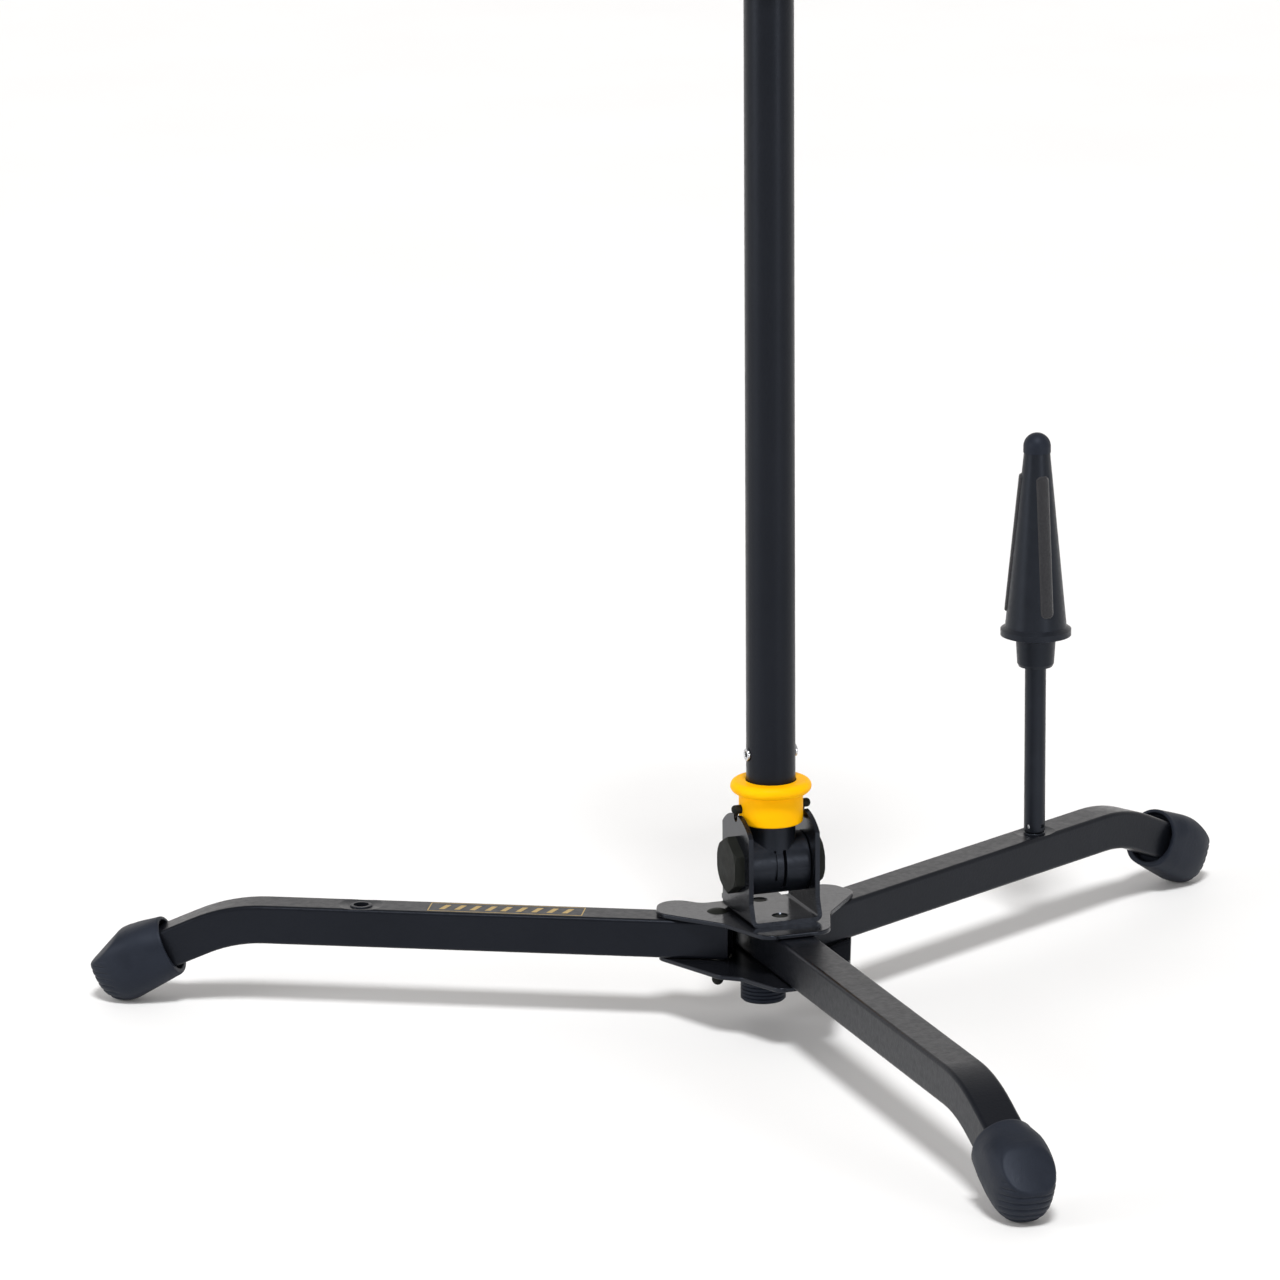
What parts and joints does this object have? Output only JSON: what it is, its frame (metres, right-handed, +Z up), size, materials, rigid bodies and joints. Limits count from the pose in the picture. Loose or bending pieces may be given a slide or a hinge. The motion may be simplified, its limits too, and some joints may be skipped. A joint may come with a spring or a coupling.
{
  "type": "trumpet stand",
  "caption": "Folding tripod stand with swivel legs, hinged telescoping post locked by a yellow collar, bell rest, and a screw-in trumpet peg.",
  "frame": {"origin": "on the ground, under the middle of the stand's bounding box with the legs spread", "axes": "+Z up along the post; +Y away from the fixed leg, which points to -Y; +X towards the leg that carries the trumpet peg and along the hinge bolt"},
  "size_m": [0.7718, 0.6416, 1.016],
  "materials": {
    "black_powder_coat": "satin black powder coat",
    "black_plate": "satin black paint on pressed sheet",
    "dark_zinc": "matte black zinc",
    "rubber": "matte moulded rubber",
    "yellow_plastic": "moulded yellow plastic",
    "black_plastic": "moulded black plastic",
    "steel": "zinc plated steel",
    "nylon": "natural nylon",
    "felt": "black felt"
  },
  "bodies": {
    "base": {"top_plate": "black_plate", "bottom_plate": "black_plate", "fixed_leg": "black_powder_coat", "fixed_leg_boot": "rubber", "fixed_leg_rivets": "dark_zinc", "rear_bumper": "rubber", "hinge_bracket": "black_plate", "pivot_bolt": "dark_zinc", "pivot_nut": "dark_zinc", "left_pivot_rivet": "dark_zinc", "right_pivot_rivet": "dark_zinc", "left_leg_washers": "nylon", "right_leg_washers": "nylon"},
    "left_leg": {"left_leg": "black_powder_coat", "left_leg_boot": "rubber", "left_peg_socket": "black_plastic"},
    "right_leg": {"right_leg": "black_powder_coat", "right_leg_boot": "rubber", "right_peg_socket": "black_plastic"},
    "post": {"post_knuckle": "black_plastic", "hinge_bushes": "nylon", "post_tube": "black_powder_coat", "retaining_rivet": "steel", "spring_seat": "steel", "lock_spring": "steel", "tube_bushing": "nylon", "clamp_collar": "black_plastic", "clamp_nut": "steel"},
    "release_collar": {"release_collar": "yellow_plastic", "lock_pin": "dark_zinc", "spring_cup": "steel"},
    "clamp_knob": {"clamp_knob": "black_plastic", "clamp_screw": "steel"},
    "inner_post": {"inner_tube": "black_powder_coat", "tube_glide": "black_plastic", "bell_rest": "black_plastic", "bell_rest_screw": "steel", "bell_rest_pad": "felt", "bell_rest_cap": "rubber"},
    "trumpet_peg": {"peg_stem": "black_plastic", "peg_stud": "steel", "peg_cross_pin": "steel", "peg_cone": "black_plastic", "peg_pads": "felt", "peg_tip": "rubber"}
  },
  "joints": [
    {"name": "left_leg_swivel", "type": "hinge", "parent": "base", "child": "left_leg", "pos_m": [-0.03002, 0.12137, 0.0556], "axis": [0, 0, 1], "range_deg": [0, 116]},
    {"name": "right_leg_swivel", "type": "hinge", "parent": "base", "child": "right_leg", "pos_m": [0.03002, 0.12137, 0.0556], "axis": [0, 0, -1], "range_deg": [0, 116]},
    {"name": "post_fold", "type": "hinge", "parent": "base", "child": "post", "pos_m": [0, 0.1054, 0.1057], "axis": [1, 0, 0], "range_deg": [0, 90]},
    {"name": "collar_lift", "type": "slide", "parent": "post", "child": "release_collar", "axis": [0, 0, 1], "range_m": [-0.0048, 0.005], "stiffness_N_per_m": 500, "springref_m": -0.012, "deforming": ["lock_spring"]},
    {"name": "clamp_knob_turn", "type": "hinge", "parent": "post", "child": "clamp_knob", "pos_m": [0.031, 0.1054, 0.667], "axis": [1, 0, 0], "range_deg": [0, 270]},
    {"name": "height_slide", "type": "slide", "parent": "post", "child": "inner_post", "axis": [0, 0, 1], "range_m": [-0.18, 0.1]},
    {"name": "peg_lift", "type": "slide", "parent": "right_leg", "child": "trumpet_peg", "axis": [0, 0, 1], "range_m": [0, 0.04]}
  ]
}
